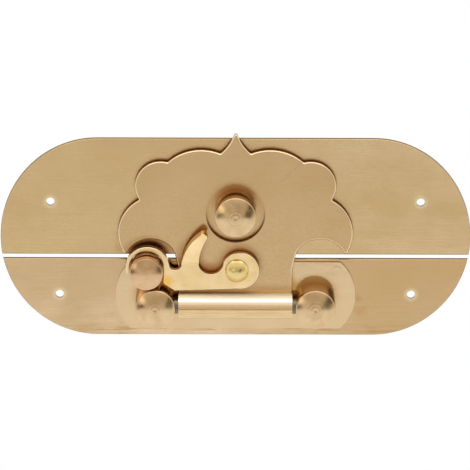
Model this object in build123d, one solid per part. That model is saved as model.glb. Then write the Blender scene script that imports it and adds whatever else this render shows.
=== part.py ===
import os
from math import sqrt

from build123d import *

# Brass clasp for a wooden chest: a nail-on plate for the lid, a nail-on plate for the box,
# and a cloud-shaped hasp that hinges on the box plate and drops over a knob on the lid plate.
# A small lever riveted to the hasp hooks over a latch post and keeps the hasp shut.
#
# Sizes are in millimetres. Every piece is drawn lying on its back, as on a bench: x runs along
# the hinge pin, y runs up the chest, and z runs out from the chest's face. upright() then stands
# it up, so that the finished clasp has Z up and looks out along -Y.
# The origin is on the box plate's back, halfway between its two nail holes.

# The two plates, which together make one long plate with round ends
plate_length = 160.0
plates_height = 70.2
plate_end = 33.2
plate_thickness = 1.0
plate_edge_break = 0.25
split_gap = 1.5
lower_plate_height = 27.5

# Nail holes
nail_hole_radius = 1.4
lower_nails_from_end = 19.9
upper_nails_from_end = 17.1
lower_nails_above_edge = 14.6
upper_nails_below_edge = 22.5

# The thin polished plate that the hinge posts stand on
seat_past_posts = 6.9
seat_thickness = 0.5
seat_above_hinge = 14.4
seat_below_hinge = 9.5
seat_end_radius = 16.5
seat_corner_radius = 1.2
seat_rivet_radius = 1.75
seat_rivet_from_end = 6.4
seat_rivet_from_top = 3.2
seat_rivet_proud = 0.12

# Hinge pin, the posts that carry it and the hasp's rolled barrel
hinge_above_edge = 12.0
pin_radius = 2.6
pin_end_clearance = 0.2
running_clearance = 0.1
barrel_end_gap = 1.1
barrel_seam = 0.3
post_spacing = 54.6
post_radius = 6.8
post_edge_height = 10.1
post_crown = 0.8
post_flat_radius = 2.6
post_edge_width = 0.6
post_edge_drop = 0.45
post_bore_past_centre = 3.4
tail_radius = 3.4
pit_radius = 0.45
pit_depth = 0.3

# Hasp
flap_thickness = 1.5
flap_gap = 0.2
flap_edge_bevel = 0.5
flap_hole_bevel = 0.3
flap_hollow_round = 0.6
flap_tip_round = 0.6
knob_hole_clearance = 3.15
knob_hole_drop = 1.3

# The hasp's outline on its right side. The notch that clears the hinge post is placed as x from
# that post's middle, and the rest as x from the hasp's middle. Both have y above the hinge pin.
tongue_straight = 12.4
notch_inner = (-6.6, 18.2)
notch_top = (1.3, 23.1)
horn_tip = (10.1, 17.2)
low_lobe_side = (12.6, 26.2)
low_lobe_top = (32.6, 36.9)
side_lobe_crown = (32.2, 47.3)
side_lobe_top = (23.1, 50.2)
top_lobe_crown = (13.4, 54.5)
peak_foot = (5.2, 53.3)
# The peak's height is that of its point before the point is rounded, and each side of the peak
# is hollow: at its waist it is this share of the way up and out.
peak_height = 61.7
peak_waist_rise = 0.42
peak_waist_reach = 0.4

# Knob on the lid plate
knob_radius = 6.9
knob_above_hinge = 33.2
knob_edge_height = 11.2

# Latch post on the box plate
latch_outside_post = 3.0
latch_above_hinge = 12.9
latch_radius = 5.6
latch_neck_radius = 4.8
latch_head_gap = 0.35
latch_height = 11.5
latch_edge_bevel = 0.35
latch_tail_radius = 2.0

# Lever: its hook follows the latch post, and its eye turns on a rivet in the hasp
lever_thickness = 2.6
lever_play = 0.15
lever_edge_bevel = 0.25
lever_corner_round = 0.5
hook_clearance = 0.3
hook_lift = 0.8
hook_top_wall = 1.55
hook_tip_wall = 1.2
hook_tip_drop = 1.5
lever_above_barrel = 1.1
rivet_x = 0.5
rivet_above_hinge = 12.7
rivet_radius = 2.4
rivet_head_radius = 4.0
rivet_head_crown = 1.8
rivet_head_lip = 0.25

# The lever's outline, as x and y from the middle of its rivet
eye_foot = (0.7, -6.6)
eye_right = (8.2, 0.2)
eye_left = (-4.2, 2.9)
finger_valley = (-8.1, -1.3)
finger_root = (-12.7, 1.9)
finger_side = (-12.1, 7.2)
finger_end_right = (-9.8, 13.2)
finger_end = (-10.1, 14.9)
finger_end_left = (-11.7, 15.2)
finger_back = (-16.4, 9.8)
finger_heel = (-18.8, 2.5)
# Points beside the hook, as x and y from the hook's centre
hook_valley = (10.0, -0.9)
hook_shoulder = (7.9, 1.0)
lever_corner_drop = 5.9
lever_corner_run = 3.8
# The finger tab is bent outwards for a finger to catch, along a line above the rivet's middle
tab_bend = 16.0
tab_bend_above_rivet = 3.6
tab_middle_from_rivet = -13.5
tab_clear_width = 14.0

# Longer than the clasp is deep, for cuts that go right through
cut_reach = 60.0

# Places and heights that follow from the sizes above
plates_bottom = -lower_nails_above_edge
plates_top = plates_bottom + plates_height
lower_top = plates_bottom + lower_plate_height
upper_bottom = lower_top + split_gap
upper_nails_y = plates_top - upper_nails_below_edge
hinge_y = plates_bottom + hinge_above_edge
seat_front = plate_thickness + seat_thickness
flap_back = seat_front + flap_gap
flap_front = flap_back + flap_thickness
barrel_bore = pin_radius + running_clearance
barrel_radius = barrel_bore + flap_thickness
pin_height = flap_back + barrel_radius
post_x = post_spacing / 2
barrel_length = post_spacing - 2 * post_radius - 2 * barrel_end_gap
seat_length = post_spacing + 2 * post_radius + 2 * seat_past_posts
lower_nail_spacing = plate_length - 2 * lower_nails_from_end
upper_nail_spacing = plate_length - 2 * upper_nails_from_end
pin_length = 2 * (post_x + post_bore_past_centre - pin_end_clearance)
knob_y = hinge_y + knob_above_hinge
knob_hole_radius = knob_radius + knob_hole_clearance
knob_hole_y = knob_y - knob_hole_drop
latch_x = -post_x - latch_outside_post
latch_y = hinge_y + latch_above_hinge
rivet_y = hinge_y + rivet_above_hinge
lever_back = flap_front + lever_play
lever_front = lever_back + lever_thickness
rivet_head_base = lever_front + lever_play
latch_base_front = lever_back - latch_head_gap
latch_head_base = lever_front + latch_head_gap


def upright(piece):
    """Stands a piece up, from lying on its back to facing out along -Y."""
    return Rot(90, 0, 0) * piece


def slab(outline, back, front):
    """A flat piece between two heights."""
    return extrude(Pos(0, 0, back) * outline, front - back)


def bored(piece, x, y, radius):
    """The piece with a round hole right through it."""
    return piece - Pos(x, y, 0) * Cylinder(radius, cut_reach)


def edges_at(piece, height):
    """The edges that lie flat at this height."""
    return [edge for edge in piece.edges()
            if max(abs(edge.bounding_box().min.Z - height), abs(edge.bounding_box().max.Z - height)) < 1e-4]


def round_corners(outline, radius, places):
    """The flat outline with a small radius at its corners nearest to these places."""
    corners = [min(outline.vertices(), key=lambda corner: (corner.X - x) ** 2 + (corner.Y - y) ** 2)
               for x, y in places]
    return fillet(corners, radius)


def smoothed(outline, radius):
    """The flat outline with every hollow and every corner rounded to this radius."""
    for amount in (radius, -radius, -radius, radius):
        outline = offset(outline, amount, kind=Kind.ARC)
    return outline


def turned(x, y, profile):
    """A turned piece standing at x, y: its half section is drawn as radius and height."""
    return Pos(x, y, 0) * revolve(Rot(90, 0, 0) * make_face(profile), Axis.Z, 360)


def plate_pair_outline():
    """The long plate with round ends, before it is split."""
    outline = Rectangle(plate_length - 2 * plate_end, plates_height)
    for side in (-1, 1):
        outline += Pos(side * (plate_length / 2 - plate_end), 0) * Ellipse(plate_end, plates_height / 2)
    return Pos(0, (plates_bottom + plates_top) / 2) * outline


def plate_half(bottom, top, nail_spacing, nail_y, bores):
    """One half of the plate, with its two nail holes and the bores for what is riveted to it."""
    band = Pos(0, (bottom + top) / 2) * Rectangle(plate_length, top - bottom)
    plate = slab(plate_pair_outline() & band, 0, plate_thickness)
    plate = chamfer(edges_at(plate, plate_thickness), plate_edge_break)
    for side in (-1, 1):
        plate = bored(plate, side * nail_spacing / 2, nail_y, nail_hole_radius)
    for x, y, radius in bores:
        plate = bored(plate, x, y, radius)
    return plate


def seat_rivet_place():
    """Middle of the small flush rivet, in the seat plate's upper right corner."""
    return seat_length / 2 - seat_rivet_from_end, hinge_y + seat_above_hinge - seat_rivet_from_top


def box_plate_bores():
    """What passes through the box plate: both hinge posts, the latch post and the small rivet."""
    x, y = seat_rivet_place()
    return [(-post_x, hinge_y, tail_radius), (post_x, hinge_y, tail_radius),
            (latch_x, latch_y, latch_tail_radius), (x, y, seat_rivet_radius)]


def upper_plate():
    return plate_half(upper_bottom, plates_top, upper_nail_spacing, upper_nails_y,
                      [(0, knob_y, tail_radius)])


def lower_plate():
    return plate_half(plates_bottom, lower_top, lower_nail_spacing, 0, box_plate_bores())


def hinge_seat_plate():
    """A thin plate with straight long sides and bowed ends."""
    bottom = hinge_y - seat_below_hinge
    top = hinge_y + seat_above_hinge
    middle = (bottom + top) / 2
    bow = seat_end_radius - sqrt(seat_end_radius ** 2 - ((top - bottom) / 2) ** 2)
    end_x = seat_length / 2
    corner_x = end_x - bow
    outline = make_face([
        Line((-corner_x, bottom), (corner_x, bottom)),
        ThreePointArc((corner_x, bottom), (end_x, middle), (corner_x, top)),
        Line((corner_x, top), (-corner_x, top)),
        ThreePointArc((-corner_x, top), (-end_x, middle), (-corner_x, bottom)),
    ])
    outline = fillet(outline.vertices(), seat_corner_radius)
    plate = slab(outline, plate_thickness, seat_front)
    for x, y, radius in box_plate_bores():
        plate = bored(plate, x, y, radius)
    return plate


def seat_plate_rivet():
    x, y = seat_rivet_place()
    top = seat_front + seat_rivet_proud
    return Pos(x, y, top / 2) * Cylinder(seat_rivet_radius, top)


def crowned_profile(radius, base, edge_height, tail):
    """Half section of a turned stud: a tail through its plate, a plain side, an eased edge and a
    head that rises to a small flat, with the centre pit that the lathe left."""
    top = edge_height + post_crown
    return Polyline((0, top - pit_depth), (0, 0), (tail, 0), (tail, base), (radius, base),
                    (radius, edge_height - post_edge_drop), (radius - post_edge_width, edge_height),
                    (post_flat_radius, top), (pit_radius, top), close=True)


def hinge_post(side):
    """A hinge post, with a blind cross bore from its inner side for the pin."""
    x = side * post_x
    post = turned(x, hinge_y, crowned_profile(post_radius, seat_front, post_edge_height, tail_radius))
    bore_length = post_radius + post_bore_past_centre
    bore_x = x + side * (post_bore_past_centre - bore_length / 2)
    return post - Pos(bore_x, hinge_y, pin_height) * Rot(0, 90, 0) * Cylinder(pin_radius, bore_length)


def hinge_pin():
    return Pos(0, hinge_y, pin_height) * Rot(0, 90, 0) * Cylinder(pin_radius, pin_length)


def lid_knob():
    return turned(0, knob_y, crowned_profile(knob_radius, plate_thickness, knob_edge_height, tail_radius))


def latch_post():
    """A flat-headed stud. The lever's hook drops behind its head, into a groove round it, and its
    tail is thin because the plate's top edge is close."""
    side_top = latch_height - latch_edge_bevel
    return turned(latch_x, latch_y, Polyline(
        (0, 0), (latch_tail_radius, 0), (latch_tail_radius, seat_front), (latch_radius, seat_front),
        (latch_radius, latch_base_front), (latch_neck_radius, latch_base_front),
        (latch_neck_radius, latch_head_base), (latch_radius, latch_head_base), (latch_radius, side_top),
        (latch_radius - latch_edge_bevel, latch_height), (0, latch_height), close=True))


def notch_place(point):
    """A point of the outline that is placed from the hinge post, as x from the hasp's middle."""
    return post_x + point[0], point[1]


def both_sides(*points):
    """Points of the outline's right side together with their twins on the left."""
    return [(side * x, hinge_y + y) for side in (-1, 1) for x, y in points]


def flap_side(side):
    """One side of the cloud outline, from the hinge line up to the peak."""
    def at(point):
        return side * point[0], hinge_y + point[1]

    inner, horn = at(notch_place(notch_inner)), at(notch_place(horn_tip))
    waist_y = peak_foot[1] + peak_waist_rise * (peak_height - peak_foot[1])
    return [
        Polyline(at((barrel_length / 2, 0)), at((barrel_length / 2, tongue_straight)), inner),
        ThreePointArc(inner, at(notch_place(notch_top)), horn),
        ThreePointArc(horn, at(notch_place(low_lobe_side)), at(low_lobe_top)),
        ThreePointArc(at(low_lobe_top), at(side_lobe_crown), at(side_lobe_top)),
        ThreePointArc(at(side_lobe_top), at(top_lobe_crown), at(peak_foot)),
        ThreePointArc(at(peak_foot), at((peak_waist_reach * peak_foot[0], waist_y)), at((0, peak_height))),
    ]


def rolled_barrel():
    """The foot of the hasp rolled round the pin, with the open seam against its own sheet."""
    # In this section x runs out from the chest and y runs up it.
    seam_face = flap_front + barrel_seam - pin_height
    cut_width = barrel_radius + seam_face
    over_seam = Pos(-barrel_radius + cut_width / 2, barrel_radius / 2) * Rectangle(cut_width, barrel_radius)
    section = Circle(barrel_radius) - Circle(barrel_bore) - over_seam
    across = Plane(origin=(barrel_length / 2, hinge_y, pin_height), x_dir=(0, 0, 1), z_dir=(-1, 0, 0))
    return extrude(across * section, barrel_length)


def flap():
    """The hasp: one sheet, with the knob hole, the hole for the lever's rivet and the barrel."""
    hinge_line = Line((-barrel_length / 2, hinge_y), (barrel_length / 2, hinge_y))
    outline = make_face([*flap_side(1), *flap_side(-1), hinge_line])
    tips = both_sides(notch_place(horn_tip)) + [(0, hinge_y + peak_height)]
    outline = round_corners(outline, flap_tip_round, tips)
    hollows = both_sides(low_lobe_top, side_lobe_top, peak_foot, notch_place(notch_inner))
    outline = round_corners(outline, flap_hollow_round, hollows)
    sheet = slab(outline, flap_back, flap_front)
    rim = [edge for edge in edges_at(sheet, flap_front) if edge.center().Y > hinge_y + 1e-3]
    sheet = bored(chamfer(rim, flap_edge_bevel), 0, knob_hole_y, knob_hole_radius)
    # A cone centred on the front face eases the knob hole's edge.
    sheet -= Pos(0, knob_hole_y, flap_front) * Cone(
        knob_hole_radius - flap_hole_bevel, knob_hole_radius + flap_hole_bevel, 2 * flap_hole_bevel)
    return bored(sheet, rivet_x, rivet_y, rivet_radius) + rolled_barrel()


def lever_rivet():
    """A domed rivet, headed over the lever and flush behind the hasp."""
    lip = rivet_head_base + rivet_head_lip
    top = lip + rivet_head_crown
    sphere = (rivet_head_radius ** 2 + rivet_head_crown ** 2) / (2 * rivet_head_crown)
    half_way = rivet_head_radius / 2
    return turned(rivet_x, rivet_y, [
        Polyline((0, top), (0, flap_back), (rivet_radius, flap_back), (rivet_radius, rivet_head_base),
                 (rivet_head_radius, rivet_head_base), (rivet_head_radius, lip)),
        ThreePointArc((rivet_head_radius, lip), (half_way, top - sphere + sqrt(sphere ** 2 - half_way ** 2)),
                      (0, top)),
    ])


def bent_tab(plate):
    """The lever with its finger tab bent outwards. The bend turns about the lever's back face."""
    bend_y = rivet_y + tab_bend_above_rivet
    beyond_bend = Pos(rivet_x + tab_middle_from_rivet, bend_y + cut_reach / 2) * Box(
        tab_clear_width, cut_reach, cut_reach)
    tab = (plate & beyond_bend).rotate(Axis((0, bend_y, lever_back), (1, 0, 0)), tab_bend)
    return plate - beyond_bend + tab


def lever():
    """The lever: a hook over the latch post, a curved finger tab and an eye."""
    hook_y = latch_y + hook_lift
    inner = latch_radius + hook_clearance
    tip = inner + hook_tip_wall
    bottom = hinge_y + barrel_radius + lever_above_barrel
    corner_y = hook_y - lever_corner_drop

    def by_hook(x, y):
        return latch_x + x, hook_y + y

    def by_rivet(point):
        return rivet_x + point[0], rivet_y + point[1]

    outline = make_face([
        ThreePointArc(by_hook(-tip, -hook_tip_drop), by_hook(-(tip + inner) / 2, -hook_tip_drop - hook_tip_wall / 2),
                      by_hook(-inner, -hook_tip_drop)),
        Line(by_hook(-inner, -hook_tip_drop), by_hook(-inner, 0)),
        ThreePointArc(by_hook(-inner, 0), by_hook(0, inner), by_hook(inner, 0)),
        Polyline(by_hook(inner, 0), (latch_x + inner, corner_y),
                 (latch_x + inner + lever_corner_run, bottom), by_rivet(eye_foot)),
        ThreePointArc(by_rivet(eye_foot), by_rivet(eye_right), by_rivet(eye_left)),
        ThreePointArc(by_rivet(eye_left), by_rivet(finger_valley), by_rivet(finger_root)),
        ThreePointArc(by_rivet(finger_root), by_rivet(finger_side), by_rivet(finger_end_right)),
        ThreePointArc(by_rivet(finger_end_right), by_rivet(finger_end), by_rivet(finger_end_left)),
        ThreePointArc(by_rivet(finger_end_left), by_rivet(finger_back), by_rivet(finger_heel)),
        ThreePointArc(by_rivet(finger_heel), by_hook(*hook_valley), by_hook(*hook_shoulder)),
        ThreePointArc(by_hook(*hook_shoulder), by_hook(0, inner + hook_top_wall), by_hook(-tip, -hook_tip_drop)),
    ])
    plate = slab(smoothed(outline, lever_corner_round), lever_back, lever_front)
    plate = chamfer(edges_at(plate, lever_front), lever_edge_bevel)
    return bored(bent_tab(plate), rivet_x, rivet_y, rivet_radius + running_clearance)


pieces = {
    "upper_plate": upper_plate(),
    "lower_plate": lower_plate(),
    "hinge_seat_plate": hinge_seat_plate(),
    "seat_plate_rivet": seat_plate_rivet(),
    "left_hinge_post": hinge_post(-1),
    "right_hinge_post": hinge_post(1),
    "hinge_pin": hinge_pin(),
    "lid_knob": lid_knob(),
    "latch_post": latch_post(),
    "flap": flap(),
    "lever": lever(),
    "lever_rivet": lever_rivet(),
}

os.makedirs("parts", exist_ok=True)
for name, piece in pieces.items():
    export_step(upright(piece), f"parts/{name}.step")
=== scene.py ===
import math

import bpy
from mathutils import Matrix, Vector


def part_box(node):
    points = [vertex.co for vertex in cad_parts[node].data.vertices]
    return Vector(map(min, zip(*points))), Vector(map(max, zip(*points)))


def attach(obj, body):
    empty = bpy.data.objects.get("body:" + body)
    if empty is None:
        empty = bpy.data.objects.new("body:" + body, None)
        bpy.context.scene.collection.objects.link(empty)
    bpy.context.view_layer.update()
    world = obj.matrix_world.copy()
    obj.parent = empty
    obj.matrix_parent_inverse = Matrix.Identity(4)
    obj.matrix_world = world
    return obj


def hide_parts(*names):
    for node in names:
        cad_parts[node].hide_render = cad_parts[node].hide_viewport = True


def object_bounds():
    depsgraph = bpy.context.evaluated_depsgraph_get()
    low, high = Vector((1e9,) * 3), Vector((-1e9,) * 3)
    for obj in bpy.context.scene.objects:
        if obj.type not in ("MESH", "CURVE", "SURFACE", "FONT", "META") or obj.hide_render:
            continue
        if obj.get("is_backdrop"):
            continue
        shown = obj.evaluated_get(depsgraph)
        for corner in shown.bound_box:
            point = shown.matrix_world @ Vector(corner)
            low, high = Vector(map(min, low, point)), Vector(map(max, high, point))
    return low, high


# A brass chest clasp, dressed in its metals. Z is up and the clasp looks out along -Y. Blender
# works in metres, and the clasp's own sizes are given here in millimetres. The CAD pieces keep
# their places. The studs and the rivet are turned again with finer edges and smoother domes, and
# the hasp and the lever are copies that shade evenly.

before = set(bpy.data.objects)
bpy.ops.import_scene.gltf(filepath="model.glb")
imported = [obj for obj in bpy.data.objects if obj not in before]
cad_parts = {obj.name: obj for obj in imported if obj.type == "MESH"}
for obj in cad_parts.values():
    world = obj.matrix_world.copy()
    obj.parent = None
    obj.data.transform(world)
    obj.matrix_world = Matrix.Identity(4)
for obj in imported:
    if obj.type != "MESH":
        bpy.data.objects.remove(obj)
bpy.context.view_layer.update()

MM = 0.001

# How far out from the chest the faces of the sheets lie, in millimetres.
PLATE_FRONT = 1.0
SEAT_FRONT = 1.5
HASP_BACK = 1.7
HASP_FRONT = 3.2
LEVER_FRONT = 5.95


def linear(colour):
    """An sRGB colour such as "#C6A878" as the linear RGBA that the shaders take."""
    parts = [int(colour[i:i + 2], 16) / 255 for i in (1, 3, 5)]
    return tuple(c / 12.92 if c <= 0.04045 else ((c + 0.055) / 1.055) ** 2.4
                 for c in parts) + (1.0,)


def add(tree, kind, inputs, out=0, **settings):
    """Adds one node with its settings and links, and gives one of its outputs. An input is a
    value, a hex colour or the output that feeds it. In a Map Range the inputs 0 to 4 are the
    value, the two ends that it comes from and the two that it goes to, 0 and 1 if none are given.
    In a colour Mix the inputs 0, 6 and 7 are the share and the two colours."""
    node = tree.nodes.new(kind)
    for name, value in settings.items():
        setattr(node, name, value)
    for key, value in inputs.items():
        if isinstance(value, bpy.types.NodeSocket):
            tree.links.new(value, node.inputs[key])
        else:
            node.inputs[key].default_value = linear(value) if isinstance(value, str) else value
    return node if out is None else node.outputs[out]


def new_metal(name):
    """A metal to be finished: the material, its tree, its shader and each point's place in mm."""
    material = bpy.data.materials.new(name)
    material.use_nodes = True
    tree = material.node_tree
    tree.nodes.clear()
    shader = add(tree, "ShaderNodeBsdfPrincipled", {"Metallic": 1.0}, out=None)
    add(tree, "ShaderNodeOutputMaterial", {"Surface": shader.outputs["BSDF"]}, out=None)
    metres = add(tree, "ShaderNodeTexCoord", {}, out="Object")
    place = add(tree, "ShaderNodeVectorMath", {0: metres, "Scale": 1 / MM}, operation="SCALE")
    return material, tree, shader, place


def finish_metal(tree, shader, colour, roughness, height, depth):
    """Joins a finish to its shader. Its marks are so many millimetres deep."""
    tree.links.new(colour, shader.inputs["Base Color"])
    tree.links.new(roughness, shader.inputs["Roughness"])
    normal = add(tree, "ShaderNodeBump",
                 {"Strength": 1.0, "Distance": depth * MM, "Height": height})
    tree.links.new(normal, shader.inputs["Normal"])


def with_painted_shade(tree, colour, painted_shade, reach, full, none, front, most=1.0):
    """The colour with a painted shade on the sheet just above what stands on it, where little of
    the view down and out is open. It fades out over the reach, in millimetres: it is full where so
    little of the view down and out is open, and none where so much is. The front is 0 on the
    sheet's back, which gets none."""
    down_and_out = add(tree, "ShaderNodeCombineXYZ", {"Y": -0.78, "Z": -0.62})
    open_share = add(tree, "ShaderNodeAmbientOcclusion",
                     {"Distance": reach * MM, "Normal": down_and_out}, out="AO", samples=12)
    share = add(tree, "ShaderNodeMapRange", {0: open_share, 1: full, 2: none, 3: most, 4: 0.0})
    share = add(tree, "ShaderNodeMath", {0: share, 1: front}, operation="MULTIPLY")
    return add(tree, "ShaderNodeMix", {0: share, 6: colour, 7: painted_shade}, out=2, data_type="RGBA")


def pale_edges_worn_and_lit(tree, colour, outward, front, back, pale):
    """The colour with the eased edge of a sheet painted pale, partly as rubbing and partly as a
    painted highlight, from its front face to so far out from the chest."""
    near = add(tree, "ShaderNodeMapRange",
               {0: outward, 1: -front + 0.01, 2: -front + 0.08, 3: 0.0, 4: 0.9})
    far = add(tree, "ShaderNodeMapRange", {0: outward, 1: -back - 0.06, 2: -back, 3: 1.0, 4: 0.0})
    share = add(tree, "ShaderNodeMath", {0: near, 1: far}, operation="MULTIPLY")
    return add(tree, "ShaderNodeMix", {0: share, 6: colour, 7: pale}, out=2, data_type="RGBA")


# Rolled brass sheet, brushed along its length with a fine abrasive belt: tan gold with a satin
# sheen, faint streaks from side to side, and dull sheared edges painted dark brown as shade. A
# nail hole is given as x and z, and a mark as x, z, its size, its share and its colour.
def brushed_rolled_brass(name, pale, deep, low_pale, right, painted_shade, nail_holes, marks):
    material, tree, shader, place = new_metal(name)
    parts = add(tree, "ShaderNodeSeparateXYZ", {0: place}, out=None).outputs
    # Clouds some 30 mm wide, streaks 20 mm long and 0.6 mm wide, scratches 0.2 mm wide.
    cloud_place = add(tree, "ShaderNodeMapping", {"Vector": place, "Scale": (0.03, 0.03, 0.05)})
    clouds = add(tree, "ShaderNodeTexNoise",
                 {"Vector": cloud_place, "Scale": 1.0, "Detail": 3.0, "Roughness": 0.6})
    streak_place = add(tree, "ShaderNodeMapping", {"Vector": place, "Scale": (0.05, 0.4, 1.6)})
    streaks = add(tree, "ShaderNodeTexNoise",
                  {"Vector": streak_place, "Scale": 1.0, "Detail": 4.0, "Roughness": 0.65})
    fine_place = add(tree, "ShaderNodeMapping",
                     {"Vector": place, "Location": (7, 0, 3), "Scale": (0.16, 1.0, 4.5)})
    fine = add(tree, "ShaderNodeTexNoise",
               {"Vector": fine_place, "Scale": 1.0, "Detail": 2.0, "Roughness": 0.6})
    grain = add(tree, "ShaderNodeTexNoise",
                {"Vector": place, "Scale": 1.3, "Detail": 3.0, "Roughness": 0.7})

    # The box plate is paler towards its foot, and both plates change their tone towards the right.
    towards_foot = add(tree, "ShaderNodeMapRange", {0: parts["Z"], 1: 3.0, 2: -10.0})
    bright = add(tree, "ShaderNodeMix", {0: towards_foot, 6: pale, 7: low_pale}, out=2, data_type="RGBA")
    rightwards = add(tree, "ShaderNodeMapRange", {0: parts["X"], 1: 10.0, 2: 45.0})
    bright = add(tree, "ShaderNodeMix", {0: rightwards, 6: bright, 7: right},
                 out=2, data_type="RGBA")
    cloud_share = add(tree, "ShaderNodeMapRange", {0: clouds, 1: 0.35, 2: 0.65})
    colour = add(tree, "ShaderNodeMix", {0: cloud_share, 6: deep, 7: bright},
                 out=2, data_type="RGBA")
    streak_share = add(tree, "ShaderNodeMapRange", {0: streaks, 1: 0.3, 2: 0.7, 3: 0.0, 4: 0.35})
    colour = add(tree, "ShaderNodeMix", {0: streak_share, 6: colour, 7: deep},
                 out=2, data_type="RGBA")
    grain_share = add(tree, "ShaderNodeMapRange", {0: grain, 1: 0.45, 2: 0.75, 3: 0.0, 4: 0.3})
    colour = add(tree, "ShaderNodeMix", {0: grain_share, 6: colour, 7: "#C4A673"},
                 out=2, data_type="RGBA")

    # Old lacquer is left in patches along the box plate's foot.
    foot = add(tree, "ShaderNodeMapRange", {0: parts["Z"], 1: -10.5, 2: -12.5, 3: 0.0, 4: 1.0})
    lacquer_place = add(tree, "ShaderNodeMapping",
                        {"Vector": place, "Location": (2, 0, 5), "Scale": (0.07, 0.4, 1.1)})
    lacquer = add(tree, "ShaderNodeTexNoise",
                  {"Vector": lacquer_place, "Scale": 1.0, "Detail": 4.0, "Roughness": 0.7})
    lacquer_share = add(tree, "ShaderNodeMapRange",
                        {0: lacquer, 1: 0.5, 2: 0.62, 3: 0.0, 4: 0.65})
    foot_share = add(tree, "ShaderNodeMath", {0: foot, 1: lacquer_share}, operation="MULTIPLY")
    colour = add(tree, "ShaderNodeMix", {0: foot_share, 6: colour, 7: "#B8925A"},
                 out=2, data_type="RGBA")

    # Stains with ragged edges, and the bright burr round each nail hole. A mark may be painted
    # shade instead of a stain, as the upper plate's mark by the latch post is. What makes an edge
    # ragged also moves the mark, by 1.5 mm each way. The back has none of these.
    before_back = add(tree, "ShaderNodeMapRange",
                      {0: parts["Y"], 1: -0.12, 2: -0.03, 3: 1.0, 4: 0.0})
    ragged = add(tree, "ShaderNodeTexNoise", {"Vector": place, "Scale": 0.5, "Detail": 3.0},
                 out="Color")
    ragged_place = add(tree, "ShaderNodeVectorMath", {0: ragged, 1: (3.0, 0.0, 3.0), 2: place},
                       operation="MULTIPLY_ADD")
    burrs = [(x, z, place, 1.5, 2.9, 0.75, "#EAD8B2") for x, z in nail_holes]
    stains_and_shade = [(x + 1.5, z + 1.5, ragged_place, 0.0, size, share, tint)
              for x, z, size, share, tint in marks]
    for x, z, where, near, far, share, tint in burrs + stains_and_shade:
        reach = add(tree, "ShaderNodeVectorMath", {0: where, 1: (x, -PLATE_FRONT, z)},
                    out="Value", operation="DISTANCE")
        ring = add(tree, "ShaderNodeMapRange", {0: reach, 1: near, 2: far, 3: share, 4: 0.0})
        ring = add(tree, "ShaderNodeMath", {0: ring, 1: before_back}, operation="MULTIPLY")
        colour = add(tree, "ShaderNodeMix", {0: ring, 6: colour, 7: tint},
                     out=2, data_type="RGBA")
    # Painted shade: the sheet is painted brown just above what stands on it.
    colour = with_painted_shade(tree, colour, "#A4652F", reach=4.0, full=0.25, none=0.68,
                       front=before_back, most=painted_shade)
    # The sheared edge between the two faces is dull, and painted dark as shade.
    behind_front = add(tree, "ShaderNodeMapRange",
                       {0: parts["Y"], 1: -PLATE_FRONT + 0.03, 2: -PLATE_FRONT + 0.2})
    edge = add(tree, "ShaderNodeMath", {0: behind_front, 1: before_back}, operation="MULTIPLY")
    colour = add(tree, "ShaderNodeMix", {0: edge, 6: colour, 7: "#5E4522"},
                 out=2, data_type="RGBA")

    sheen = add(tree, "ShaderNodeMapRange", {0: streaks, 1: 0.3, 2: 0.7, 3: 0.2, 4: 0.28})
    dull = add(tree, "ShaderNodeMath", {0: edge, 1: 0.6}, operation="MULTIPLY")
    roughness = add(tree, "ShaderNodeMath", {0: sheen, 1: dull}, operation="MAXIMUM")
    scratches = add(tree, "ShaderNodeMath", {0: fine, 1: 0.6, 2: streaks},
                    operation="MULTIPLY_ADD")
    finish_metal(tree, shader, colour, roughness, scratches, 0.005)
    return material


# Thin brass sheet, buffed to a mirror: it shows its neighbours, a little wavy as thin sheet is.
def buffed_sheet_brass(name):
    material, tree, shader, place = new_metal(name)
    clouds = add(tree, "ShaderNodeTexNoise", {"Vector": place, "Scale": 0.08, "Detail": 2.0})
    cloud_share = add(tree, "ShaderNodeMapRange", {0: clouds, 1: 0.35, 2: 0.65})
    colour = add(tree, "ShaderNodeMix", {0: cloud_share, 6: "#D7BB91", 7: "#DFC49B"},
                 out=2, data_type="RGBA")
    # Painted shade on the seat just above the posts and the rivet that stand on it.
    colour = with_painted_shade(tree, colour, "#B88A50", reach=6.0, full=0.3, none=0.7, front=1.0)
    roughness = add(tree, "ShaderNodeMapRange", {0: clouds, 1: 0.3, 2: 0.7, 3: 0.08, 4: 0.13})
    wave_place = add(tree, "ShaderNodeMapping",
                     {"Vector": place, "Location": (5, 0, 1), "Scale": (0.12, 0.12, 0.3)})
    waves = add(tree, "ShaderNodeTexNoise", {"Vector": wave_place, "Scale": 1.0, "Detail": 2.0})
    finish_metal(tree, shader, colour, roughness, waves, 0.015)
    return material
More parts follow.
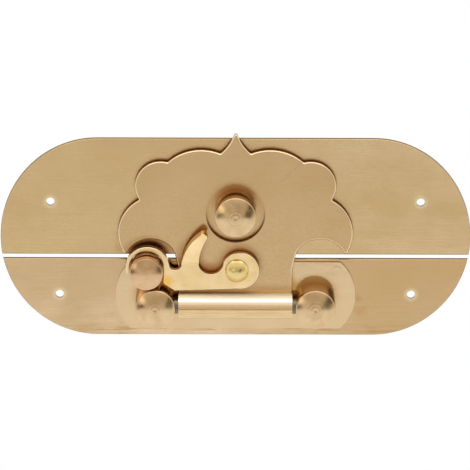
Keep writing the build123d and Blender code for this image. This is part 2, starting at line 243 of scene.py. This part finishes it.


# Free-cutting brass bar, turned on a lathe and buffed: near mirror, with the tool's fine circles
# round its middle and a few dull specks. The bar's middle is given as x and z, and each darker
# circle as its radius and its share.
def turned_bar_brass(name, x, z, pale, deep, darker_circles=()):
    material, tree, shader, place = new_metal(name)
    parts = add(tree, "ShaderNodeSeparateXYZ", {0: place}, out=None).outputs
    # The circles are taken round the stud's own axis, so that its side gets none.
    flat_place = add(tree, "ShaderNodeCombineXYZ", {"X": parts["X"], "Z": parts["Z"]})
    reach = add(tree, "ShaderNodeVectorMath", {0: flat_place, 1: (x, 0.0, z)},
                out="Value", operation="DISTANCE")
    clouds = add(tree, "ShaderNodeTexNoise", {"Vector": place, "Scale": 0.35, "Detail": 2.0})
    cloud_share = add(tree, "ShaderNodeMapRange", {0: clouds, 1: 0.35, 2: 0.65})
    colour = add(tree, "ShaderNodeMix", {0: cloud_share, 6: deep, 7: pale},
                 out=2, data_type="RGBA")
    specks = add(tree, "ShaderNodeTexNoise",
                 {"Vector": place, "Scale": 2.2, "Detail": 2.0, "Roughness": 0.6})
    speck_share = add(tree, "ShaderNodeMapRange", {0: specks, 1: 0.6, 2: 0.78, 3: 0.0, 4: 0.35})
    colour = add(tree, "ShaderNodeMix", {0: speck_share, 6: colour, 7: "#9A7A46"},
                 out=2, data_type="RGBA")
    # Some of the tool's circles are darker.
    for circle, share in darker_circles:
        off = add(tree, "ShaderNodeMath", {0: reach, 1: circle}, operation="SUBTRACT")
        near = add(tree, "ShaderNodeMath", {0: off}, operation="ABSOLUTE")
        line = add(tree, "ShaderNodeMapRange", {0: near, 1: 0.05, 2: 0.25, 3: share, 4: 0.0})
        colour = add(tree, "ShaderNodeMix", {0: line, 6: colour, 7: "#A57F4C"},
                     out=2, data_type="RGBA")
    roughness = add(tree, "ShaderNodeMapRange", {0: clouds, 1: 0.3, 2: 0.7, 3: 0.14, 4: 0.2})
    # The fine circles lie about 0.3 mm apart.
    turns = add(tree, "ShaderNodeMath", {0: reach, 1: 3.2}, operation="MULTIPLY")
    fine_circles = add(tree, "ShaderNodeTexNoise", {"W": turns, "Scale": 1.0, "Detail": 2.0},
                       noise_dimensions="1D")
    finish_metal(tree, shader, colour, roughness, fine_circles, 0.003)
    return material


# Brass sheet, satin where it lies flat and polished where it is rolled round the pin: a warmer,
# darker gold than the plates, with a fine mottle from tumbling. The barrel is painted pale above
# its front line as a highlight. The pin's axis is given as y and z, in millimetres.
def satin_hasp_brass(name, axis_y, axis_z, barrel_radius):
    material, tree, shader, place = new_metal(name)
    parts = add(tree, "ShaderNodeSeparateXYZ", {0: place}, out=None).outputs
    # Clouds some 25 mm wide, and a mottle of 0.8 mm.
    clouds = add(tree, "ShaderNodeTexNoise",
                 {"Vector": place, "Scale": 0.04, "Detail": 3.0, "Roughness": 0.6})
    mottle = add(tree, "ShaderNodeTexNoise",
                 {"Vector": place, "Scale": 1.3, "Detail": 3.0, "Roughness": 0.7})
    cloud_share = add(tree, "ShaderNodeMapRange", {0: clouds, 1: 0.35, 2: 0.65})
    sheet = add(tree, "ShaderNodeMix", {0: cloud_share, 6: "#D0B182", 7: "#D6B98D"},
                out=2, data_type="RGBA")
    mottle_share = add(tree, "ShaderNodeMapRange", {0: mottle, 1: 0.4, 2: 0.75, 3: 0.0, 4: 0.35})
    sheet = add(tree, "ShaderNodeMix", {0: mottle_share, 6: sheet, 7: "#BA9868"},
                out=2, data_type="RGBA")
    before_back = add(tree, "ShaderNodeMapRange",
                      {0: parts["Y"], 1: -HASP_BACK - 0.12, 2: -HASP_BACK - 0.03, 3: 1.0, 4: 0.0})
    # Painted shade on the sheet just above the lever and whatever else stands on it.
    shaded_sheet = with_painted_shade(tree, sheet, "#98602C", reach=4.0, full=0.35, none=0.85,
                      front=before_back)

    # How far round the pin's axis a point is, and how far from it.
    outwards = add(tree, "ShaderNodeMath", {0: axis_y, 1: parts["Y"]}, operation="SUBTRACT")
    upwards = add(tree, "ShaderNodeMath", {0: parts["Z"], 1: axis_z}, operation="SUBTRACT")
    turned = add(tree, "ShaderNodeMath", {0: upwards, 1: outwards}, operation="ARCTAN2")
    across = add(tree, "ShaderNodeCombineXYZ", {"Y": outwards, "Z": upwards})
    reach = add(tree, "ShaderNodeVectorMath", {0: across}, out="Value", operation="LENGTH")
    flat = add(tree, "ShaderNodeMapRange",
               {0: reach, 1: barrel_radius + 0.1, 2: barrel_radius + 0.5})
    # The sheet just above the barrel gets less of the painted shade than the rest.
    shade_share = add(tree, "ShaderNodeMapRange",
                {0: upwards, 1: barrel_radius + 1.0, 2: barrel_radius + 5.0, 3: 0.35})
    sheet = add(tree, "ShaderNodeMix", {0: shade_share, 6: sheet, 7: shaded_sheet}, out=2, data_type="RGBA")
    # The hasp's eased front edge is painted pale: rubbing and a painted highlight.
    sheet = pale_edges_worn_and_lit(tree, sheet, parts["Y"], HASP_FRONT, HASP_FRONT - 0.45, "#F4DDB8")

    # Draw marks run along the barrel, some 8 mm long and 0.8 mm wide.
    along = add(tree, "ShaderNodeMapping", {"Vector": place, "Scale": (0.12, 1.0, 1.0)})
    drawn = add(tree, "ShaderNodeTexNoise", {"Vector": along, "Scale": 1.2, "Detail": 3.0})
    barrel_share = add(tree, "ShaderNodeMapRange", {0: drawn, 1: 0.35, 2: 0.65})
    barrel = add(tree, "ShaderNodeMix", {0: barrel_share, 6: "#D8B886", 7: "#E6C899"},
                 out=2, data_type="RGBA")
    # Below its front line it keeps its gold. Above, it is painted pale as a highlight.
    painted_pale = add(tree, "ShaderNodeMapRange",
                  {0: turned, 1: math.radians(1), 2: math.radians(8), 3: 0.0, 4: 0.8})
    barrel = add(tree, "ShaderNodeMix", {0: painted_pale, 6: barrel, 7: "#F2D6AC"},
                 out=2, data_type="RGBA")
    # The front line is a painted dark reflection: a brown line with gaps.
    off_line = add(tree, "ShaderNodeMath", {0: turned, 1: math.radians(1)}, operation="SUBTRACT")
    from_line = add(tree, "ShaderNodeMath", {0: off_line}, operation="ABSOLUTE")
    line = add(tree, "ShaderNodeMapRange",
               {0: from_line, 1: math.radians(1), 2: math.radians(3), 3: 0.7, 4: 0.0})
    line_gaps = add(tree, "ShaderNodeMapRange", {0: drawn, 1: 0.4, 2: 0.55, 3: 0.35, 4: 1.0})
    line = add(tree, "ShaderNodeMath", {0: line, 1: line_gaps}, operation="MULTIPLY")
    barrel = add(tree, "ShaderNodeMix", {0: line, 6: barrel, 7: "#7A5C36"},
                 out=2, data_type="RGBA")
    # Its top is painted palest as a highlight, and scuffed dull where the lever drags over it.
    top_highlight = add(tree, "ShaderNodeMapRange",
                  {0: turned, 1: math.radians(30), 2: math.radians(44)})
    barrel = add(tree, "ShaderNodeMix", {0: top_highlight, 6: barrel, 7: "#FFF8E8"},
                 out=2, data_type="RGBA")
    colour = add(tree, "ShaderNodeMix", {0: flat, 6: barrel, 7: sheet}, out=2, data_type="RGBA")

    satin = add(tree, "ShaderNodeMapRange", {0: mottle, 1: 0.3, 2: 0.7, 3: 0.18, 4: 0.25})
    polish = add(tree, "ShaderNodeMapRange",
                 {0: turned, 1: math.radians(46), 2: math.radians(58), 3: 0.15, 4: 0.65})
    roughness = add(tree, "ShaderNodeMix", {0: flat, 2: polish, 3: satin}, data_type="FLOAT")
    # The barrel waves a little where it was rolled, and the flat sheet hardly at all.
    wave_place = add(tree, "ShaderNodeMapping",
                     {"Vector": place, "Location": (6, 2, 1), "Scale": (0.16, 0.5, 0.5)})
    waves = add(tree, "ShaderNodeTexNoise",
                {"Vector": wave_place, "Scale": 1.0, "Detail": 2.0, "Roughness": 0.6})
    wave_share = add(tree, "ShaderNodeMapRange", {0: flat, 3: 1.5, 4: 0.25})
    waves = add(tree, "ShaderNodeMath", {0: waves, 1: wave_share}, operation="MULTIPLY")
    height = add(tree, "ShaderNodeMath", {0: mottle, 1: 0.12, 2: waves}, operation="MULTIPLY_ADD")
    finish_metal(tree, shader, colour, roughness, height, 0.02)
    return material


# Cast brass, filed and polished by hand: the palest of the metals, with edges painted paler still,
# as rubbing and as a highlight, and its sides painted brown as shade towards the back.
def hand_polished_cast_brass(name, pale, deep, brown_from, brown_to):
    material, tree, shader, place = new_metal(name)
    parts = add(tree, "ShaderNodeSeparateXYZ", {0: place}, out=None).outputs
    clouds = add(tree, "ShaderNodeTexNoise", {"Vector": place, "Scale": 0.2, "Detail": 2.0})
    cloud_share = add(tree, "ShaderNodeMapRange", {0: clouds, 1: 0.35, 2: 0.65})
    colour = add(tree, "ShaderNodeMix", {0: cloud_share, 6: deep, 7: pale},
                 out=2, data_type="RGBA")
    # Painted shade: the sides are painted brown towards the back.
    side = add(tree, "ShaderNodeMapRange",
               {0: parts["Y"], 1: brown_from, 2: brown_to, 3: 0.0, 4: 0.7})
    colour = add(tree, "ShaderNodeMix", {0: side, 6: colour, 7: "#7A4A1C"},
                 out=2, data_type="RGBA")
    # A golden glint is painted on the lever beside the latch post.
    painted_glint = add(tree, "ShaderNodeVectorMath", {0: place, 1: (-23.3, -LEVER_FRONT, 6.3)},
               out="Value", operation="DISTANCE")
    glint_share = add(tree, "ShaderNodeMapRange", {0: painted_glint, 1: 0.8, 2: 2.6, 3: 0.75, 4: 0.0})
    colour = add(tree, "ShaderNodeMix", {0: glint_share, 6: colour, 7: "#FFC24A"},
                 out=2, data_type="RGBA")
    # The eased edges are painted pale: rubbing and a painted highlight.
    colour = pale_edges_worn_and_lit(tree, colour, parts["Y"], LEVER_FRONT, LEVER_FRONT - 0.3, "#FFF6E0")
    roughness = add(tree, "ShaderNodeMapRange", {0: clouds, 1: 0.3, 2: 0.7, 3: 0.18, 4: 0.26})
    waves = add(tree, "ShaderNodeTexNoise", {"Vector": place, "Scale": 0.4, "Detail": 3.0})
    finish_metal(tree, shader, colour, roughness, waves, 0.015)
    return material


# Drawn steel rod, dulled by handling: dark grey with draw lines along it.
def drawn_steel_rod(name):
    material, tree, shader, place = new_metal(name)
    line_place = add(tree, "ShaderNodeMapping", {"Vector": place, "Scale": (0.05, 3.0, 3.0)})
    lines = add(tree, "ShaderNodeTexNoise", {"Vector": line_place, "Scale": 1.0, "Detail": 3.0})
    line_share = add(tree, "ShaderNodeMapRange", {0: lines, 1: 0.3, 2: 0.7})
    colour = add(tree, "ShaderNodeMix", {0: line_share, 6: "#6A5C50", 7: "#90847A"},
                 out=2, data_type="RGBA")
    roughness = add(tree, "ShaderNodeMapRange", {0: lines, 1: 0.3, 2: 0.7, 3: 0.25, 4: 0.4})
    finish_metal(tree, shader, colour, roughness, lines, 0.004)
    return material


def dress(piece, material):
    """Gives a piece one material on all its faces."""
    piece.data.materials.clear()
    piece.data.materials.append(material)


def deselect_all():
    if bpy.context.object and bpy.context.object.mode != "OBJECT":
        bpy.ops.object.mode_set(mode="OBJECT")
    bpy.ops.object.select_all(action="DESELECT")


def make_active(piece):
    deselect_all()
    piece.select_set(True)
    bpy.context.view_layer.objects.active = piece


def finish_piece(piece, name, body, material, nodes, smooth_angle=35):
    """Names a piece, smooths it, dresses it and lets it stand for its CAD nodes."""
    make_active(piece)
    piece.name = name
    piece.data.name = name
    bpy.ops.object.shade_smooth_by_angle(angle=math.radians(smooth_angle))
    dress(piece, material)
    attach(piece, body)
    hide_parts(*nodes)


def stud_axis(node):
    """The middle of a stud that stands along Y, as x and z in millimetres."""
    low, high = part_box(node)
    return (low.x + high.x) / 2 / MM, (low.z + high.z) / 2 / MM


def turn_stud(node, rings, sides=144):
    """A stud turned by drawing out its front face ring by ring. Each ring is a radius and a
    distance out from the chest, both in millimetres."""
    x, z = stud_axis(node)
    (radius, start), (_, end) = rings[:2]
    deselect_all()
    bpy.ops.mesh.primitive_cylinder_add(
        vertices=sides, radius=radius * MM, depth=(end - start) * MM,
        location=(x * MM, -(start + end) / 2 * MM, z * MM), rotation=(math.radians(90), 0, 0))
    piece = bpy.context.object
    bpy.ops.object.transform_apply(location=True, rotation=True, scale=True)
    front = min(piece.data.polygons, key=lambda face: face.center.y)
    for part in (piece.data.vertices, piece.data.edges, piece.data.polygons):
        part.foreach_set("select", [False] * len(part))
    front.select = True
    bpy.ops.object.mode_set(mode="EDIT")
    bpy.ops.mesh.select_mode(type="FACE")
    for (inner, depth), (outer, further) in zip(rings[1:], rings[2:]):
        bpy.ops.mesh.extrude_region_move(
            TRANSFORM_OT_translate={"value": (0, -(further - depth) * MM, 0)})
        if outer != inner:
            bpy.ops.transform.resize(value=(outer / inner, 1, outer / inner),
                                     center_override=(x * MM, -further * MM, z * MM))
    bpy.ops.object.mode_set(mode="OBJECT")
    return piece


# The crown of a turned stud, in millimetres: the radius of the sphere that it is part of, how far
# apart its rings are, the half width and height of the ridges that the tool left, and the radius
# and depth of the dimple in its middle.
CROWN_SPHERE = 24.0
RING_STEP = 0.25
RIDGE_HALF_WIDTH = 0.18
RIDGE_HEIGHT = 0.012
DIMPLE_RADIUS = 0.45
DIMPLE_DEPTH = 0.05
SHOULDER_STEPS = 6


def crown_rings(radius, side_top, top, shoulder, ridges=()):
    """Rings of a stud's crowned face: a rounded shoulder, the crown with the tool's fine ridges,
    and the dimple that the lathe's centre left on a stud with ridges."""
    def crown(r):
        return top - CROWN_SPHERE + math.sqrt(CROWN_SPHERE ** 2 - r ** 2)

    inner = radius - shoulder
    slope = math.asin(inner / CROWN_SPHERE)
    drop = crown(inner) - side_top
    rings = []
    for step in range(SHOULDER_STEPS + 1):
        turn = step / SHOULDER_STEPS * (math.pi / 2 - slope)
        rings.append((radius - shoulder * (1 - math.cos(turn)) / (1 - math.sin(slope)),
                      side_top + drop * math.sin(turn) / math.cos(slope)))
    # Even rings, which end well outside the dimple. A ridge takes the place of those beside it.
    reaches = {round(inner - RING_STEP * step, 2)
               for step in range(1, int((inner - 0.6) / RING_STEP))}
    for ridge in ridges:
        reaches -= {reach for reach in reaches if abs(reach - ridge) < RING_STEP}
        reaches |= {ridge + RIDGE_HALF_WIDTH, ridge, ridge - RIDGE_HALF_WIDTH}
    for reach in sorted(reaches, reverse=True):
        rings.append((reach, crown(reach) + (RIDGE_HEIGHT if reach in ridges else 0)))
    dimple = DIMPLE_DEPTH if ridges else 0
    rings += [(DIMPLE_RADIUS, crown(DIMPLE_RADIUS)), (0.3, crown(0.3) - dimple / 2),
              (0.1, crown(0.1) - dimple), (0.02, crown(0) - dimple)]
    return rings


def bore_for_pin(piece):
    """Cuts the blind hole that takes the end of the hinge pin."""
    low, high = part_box("hinge_pin")
    bpy.ops.mesh.primitive_cylinder_add(
        vertices=72, radius=(high.z - low.z) / 2, depth=high.x - low.x,
        location=(low + high) / 2, rotation=(0, math.radians(90), 0))
    cutter = bpy.context.object
    make_active(piece)
    hole = piece.modifiers.new("pin hole", "BOOLEAN")
    hole.object = cutter
    hole.operation = "DIFFERENCE"
    hole.solver = "EXACT"
    bpy.ops.object.modifier_apply(modifier=hole.name)
    bpy.data.objects.remove(cutter)


def welded_copy(node):
    """A copy of a CAD node whose triangles are joined into one skin with flat faces."""
    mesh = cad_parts[node].data.copy()
    piece = bpy.data.objects.new(node, mesh)
    bpy.context.scene.collection.objects.link(piece)
    make_active(piece)
    bpy.ops.mesh.customdata_custom_splitnormals_clear()
    bpy.ops.object.mode_set(mode="EDIT")
    bpy.ops.mesh.select_all(action="SELECT")
    bpy.ops.mesh.remove_doubles(threshold=0.002 * MM)
    bpy.ops.mesh.dissolve_limited(angle_limit=math.radians(0.4))
    bpy.ops.object.mode_set(mode="OBJECT")
    return piece


def even_normals(piece):
    """Shades broad faces flat, so that the shading turns only across the narrow bevels."""
    make_active(piece)
    weighted = piece.modifiers.new("even normals", "WEIGHTED_NORMAL")
    weighted.mode = "FACE_AREA"
    weighted.weight = 100
    weighted.keep_sharp = True
    bpy.ops.object.modifier_apply(modifier=weighted.name)


# The plates, the seat with its rivet and the pin keep their CAD shapes.
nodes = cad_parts
# The upper plate's mark by the latch post is painted shade: the recess under the hasp's notch,
# painted dark brown.
dress(nodes["upper_plate"], brushed_rolled_brass(
    "upper_plate_brushed_brass", pale="#DDC295", deep="#D4B787", low_pale="#DDC295",
    right="#E2C9A0", painted_shade=0.9, nail_holes=[(-62.9, 33.1), (62.9, 33.1)],
    marks=[(-28.5, 17.0, 14.0, 0.85, "#8C5024")]))
dress(nodes["lower_plate"], brushed_rolled_brass(
    "lower_plate_brushed_brass", pale="#DCBF98", deep="#D2B48A", low_pale="#F0D6B1",
    right="#D0AE7C", painted_shade=0.45, nail_holes=[(-60.1, 0), (60.1, 0)],
    marks=[(41.6, -1.5, 2.2, 0.5, "#B98A4E"), (42.6, -6.1, 2.6, 0.45, "#C08A50"),
           (-4.4, -10.4, 1.0, 0.6, "#8E6A3C")]))
seat_brass = buffed_sheet_brass("seat_buffed_brass")
dress(nodes["hinge_seat_plate"], seat_brass)
dress(nodes["seat_plate_rivet"], seat_brass)
dress(nodes["hinge_pin"], drawn_steel_rod("hinge_pin_drawn_steel"))

# The two hinge posts and the knob are crowned studs with the same ridges and darker circles.
TAIL_RADIUS = 3.4
SHOULDER_DROP = 1.25
SHOULDER = 0.4
RIDGES = (1.15, 2.2)
DARKER_CIRCLES = [(0.25, 0.4), (0.8, 0.15), (1.5, 0.3), (2.6, 0.25)]
for node, base in (("left_hinge_post", SEAT_FRONT), ("right_hinge_post", SEAT_FRONT),
                   ("lid_knob", PLATE_FRONT)):
    low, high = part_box(node)
    radius = (high.x - low.x) / 2 / MM
    top = -low.y / MM
    rings = [(TAIL_RADIUS, 0), (TAIL_RADIUS, base), (radius, base)]
    stud = turn_stud(node, rings + crown_rings(radius, top - SHOULDER_DROP, top, SHOULDER, RIDGES))
    if node != "lid_knob":
        bore_for_pin(stud)
    x, z = stud_axis(node)
    brass = turned_bar_brass(node + "_turned_brass", x, z, pale="#DFC298", deep="#D3B489",
                             darker_circles=DARKER_CIRCLES)
    finish_piece(stud, node + "_stud", "plates", brass, [node])

# The latch post has a plain head, with a groove behind it that takes the lever's hook.
LATCH_RADIUS = 5.6
LATCH_TAIL_RADIUS = 2.0
LATCH_TOP = 11.5
LATCH_SHOULDER_DROP = 0.75
LATCH_SHOULDER = 0.35
GROOVE_RADIUS = 4.8
GROOVE_BACK = 3.0
GROOVE_FRONT = 6.3
rings = [(LATCH_TAIL_RADIUS, 0), (LATCH_TAIL_RADIUS, SEAT_FRONT), (LATCH_RADIUS, SEAT_FRONT),
         (LATCH_RADIUS, GROOVE_BACK), (GROOVE_RADIUS, GROOVE_BACK), (GROOVE_RADIUS, GROOVE_FRONT),
         (LATCH_RADIUS, GROOVE_FRONT)]
latch = turn_stud("latch_post", rings + crown_rings(
    LATCH_RADIUS, LATCH_TOP - LATCH_SHOULDER_DROP, LATCH_TOP, LATCH_SHOULDER))
x, z = stud_axis("latch_post")
finish_piece(latch, "latch_post_stud", "plates",
             turned_bar_brass("latch_post_turned_brass", x, z, pale="#DDBA93", deep="#D3AE85"),
             ["latch_post"])

# The lever's rivet: a plain shank with a polished dome.
SHANK_RADIUS = 2.4
DOME_RADIUS = 4.0
DOME_BASE = 6.1
DOME_LIP = 6.35
DOME_CROWN = 1.8
DOME_TOP = 8.15
dome_sphere = (DOME_RADIUS ** 2 + DOME_CROWN ** 2) / (2 * DOME_CROWN)
dome = [(SHANK_RADIUS, HASP_BACK), (SHANK_RADIUS, DOME_BASE), (DOME_RADIUS, DOME_BASE),
        (DOME_RADIUS, DOME_LIP)]
for reach in (3.85, 3.6, 3.3, 3.0, 2.6, 2.2, 1.8, 1.4, 1.0, 0.6, 0.3, 0.05):
    dome.append((reach, DOME_TOP - dome_sphere + math.sqrt(dome_sphere ** 2 - reach ** 2)))
rivet = turn_stud("lever_rivet", dome)
finish_piece(rivet, "lever_rivet_dome", "hasp",
             hand_polished_cast_brass("lever_rivet_polished_brass", pale="#E8D092",
                                      deep="#DEC27E", brown_from=-2.0, brown_to=-1.0),
             ["lever_rivet"], smooth_angle=50)

# The hasp, with its foot rolled round the pin.
BARREL_RADIUS = 4.2
low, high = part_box("hinge_pin")
hasp_brass = satin_hasp_brass("hasp_satin_brass", (low.y + high.y) / 2 / MM,
                              (low.z + high.z) / 2 / MM, BARREL_RADIUS)
hasp = welded_copy("flap")
finish_piece(hasp, "hasp_sheet_with_barrel", "hasp", hasp_brass, ["flap"],
             smooth_angle=50)
even_normals(hasp)

# The lever. Its hook is about a quarter of a millimetre thicker inside and outside than the CAD
# one: the points of each wall, between two radii about the hook's middle, are moved in or out.
# The tip's end and the straight wall on the right stay.
HOOK_ABOVE_POST = 0.8
HOOK_END = -2.0
HOOK_RIGHT = 5.9
HOOK_WALLS = ((5.6, 6.5, 0.956), (6.7, 8.2, 1.03))
lever = welded_copy("lever")
hook_x, hook_z = stud_axis("latch_post")
hook_z += HOOK_ABOVE_POST
for nearest, furthest, growth in HOOK_WALLS:
    make_active(lever)
    for vertex in lever.data.vertices:
        x, z = vertex.co.x / MM - hook_x, vertex.co.z / MM - hook_z
        vertex.select = (nearest < math.hypot(x, z) < furthest
                         and z > HOOK_END and x < HOOK_RIGHT)
    bpy.ops.object.mode_set(mode="EDIT")
    bpy.ops.transform.resize(value=(growth, 1, growth),
                             center_override=(hook_x * MM, 0, hook_z * MM))
    bpy.ops.object.mode_set(mode="OBJECT")
finish_piece(lever, "lever_with_hook", "latch_lever",
             hand_polished_cast_brass("lever_polished_cast_brass", pale="#FBE0AE",
                                      deep="#F1D29A", brown_from=-4.8, brown_to=-3.7),
             ["lever"], smooth_angle=50)
even_normals(lever)


def studio_piece(piece, name, seen):
    """Marks a part of the studio. One that isn't seen only shows in what the metal mirrors."""
    piece.name = name
    piece.visible_camera = seen
    piece.visible_diffuse = seen
    piece.visible_shadow = seen
    piece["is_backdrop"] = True


def glowing(name, colour, strength):
    """An evenly lit surface of the studio."""
    material = bpy.data.materials.new(name)
    material.use_nodes = True
    tree = material.node_tree
    tree.nodes.clear()
    light = add(tree, "ShaderNodeEmission", {"Color": colour, "Strength": strength})
    add(tree, "ShaderNodeOutputMaterial", {"Surface": light}, out=None)
    return material


def panel(name, colour, strength, azimuths, elevations, distance, lean=0):
    """A lit panel that faces the clasp, so many metres away. Its edges are given in degrees as
    the clasp sees them, with azimuth to the right and elevation above the level. It may lean to
    the left, in degrees."""
    azimuth = math.radians(sum(azimuths) / 2)
    elevation = math.radians(sum(elevations) / 2)
    place = distance * Vector((math.cos(elevation) * math.sin(azimuth),
                               -math.cos(elevation) * math.cos(azimuth), math.sin(elevation)))
    deselect_all()
    turn = (Matrix.Rotation(azimuth, 3, "Z") @ Matrix.Rotation(math.pi / 2 - elevation, 3, "X")
            @ Matrix.Rotation(math.radians(lean), 3, "Z"))
    bpy.ops.mesh.primitive_plane_add(size=1, location=place, rotation=turn.to_euler())
    card = bpy.context.object
    card.scale = (2 * distance * math.tan(math.radians(azimuths[1] - azimuths[0]) / 2),
                  2 * distance * math.tan(math.radians(elevations[1] - elevations[0]) / 2), 1)
    dress(card, glowing(name, colour, strength))
    studio_piece(card, name, seen=False)


# The studio, in metres: a white floor far below the clasp, which the camera sees as its
# background, and a pale wall in front that starts where the floor ends, as the clasp sees them.
# The wall's dark and bright places are what the domes and the barrel mirror.
FLOOR = -0.9
FLOOR_WIDTH = 24.0
FLOOR_FRONT = -2.9
FLOOR_BACK = 12.0
deselect_all()
bpy.ops.mesh.primitive_plane_add(size=1, location=(0, (FLOOR_FRONT + FLOOR_BACK) / 2, FLOOR))
floor = bpy.context.object
floor.scale = (FLOOR_WIDTH, FLOOR_BACK - FLOOR_FRONT, 1)
floor_paint = bpy.data.materials.new("matt_white_floor")
floor_paint.use_nodes = True
paint = floor_paint.node_tree.nodes["Principled BSDF"]
paint.inputs["Base Color"].default_value = linear("#FFFFFF")
paint.inputs["Roughness"].default_value = 0.9
dress(floor, floor_paint)
studio_piece(floor, "floor", seen=True)

panel("front_wall", "#DFD8CE", 1.0, (-60, 60), (-17.2, 30), 3.2)
panel("skirting", "#5E4E36", 1.0, (-60, 60), (-18.0, -16.6), 3.1)
panel("shaded_wall", "#CDC3B2", 1.0, (-60, 60), (-11, 9), 3.0)
panel("dark_doorway_right", "#524A38", 1.0, (18, 30), (-17, 8), 2.9, lean=-22)
panel("dark_doorway_left", "#524A38", 1.0, (-33, -20), (-17, -10), 2.9, lean=20)
panel("window_left", "#FFF6E4", 1.5, (-29, -20), (-8, 9), 2.8, lean=30)
panel("high_soft_box", "#FFFAF0", 1.8, (-40, 40), (60, 122), 2.0)

world = bpy.data.worlds.new("white_room")
world.use_nodes = True
world.node_tree.nodes["Background"].inputs["Color"].default_value = linear("#FFFFFF")
world.node_tree.nodes["Background"].inputs["Strength"].default_value = 1.0
bpy.context.scene.world = world

# The camera looks down on the clasp through a long lens, so far away that the picture's pixels
# have the size given here, in millimetres. It is rolled by the slight turn that the plates have.
PIXELS = 470
PIXEL_SIZE = 0.3408
MIDDLE = (-0.17 * MM, 0, 21.0 * MM)
ELEVATION = math.radians(18)
ROLL = math.radians(0.15)
LENS = 300.0
SENSOR = 36.0
distance = PIXELS * PIXEL_SIZE * MM * LENS / SENSOR
camera_data = bpy.data.cameras.new("camera")
camera_data.lens = LENS
camera_data.sensor_width = SENSOR
camera_data.clip_start = 0.1
camera_data.clip_end = 20
camera = bpy.data.objects.new("camera", camera_data)
back = Vector((0, -math.cos(ELEVATION), math.sin(ELEVATION)))
camera.location = Vector(MIDDLE) + back * distance
level = (-back).to_track_quat("-Z", "Y").to_matrix()
camera.rotation_euler = (level @ Matrix.Rotation(ROLL, 3, "Z")).to_euler()
bpy.context.scene.collection.objects.link(camera)
bpy.context.scene.camera = camera

bpy.context.scene.view_settings.view_transform = "Standard"

low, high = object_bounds()
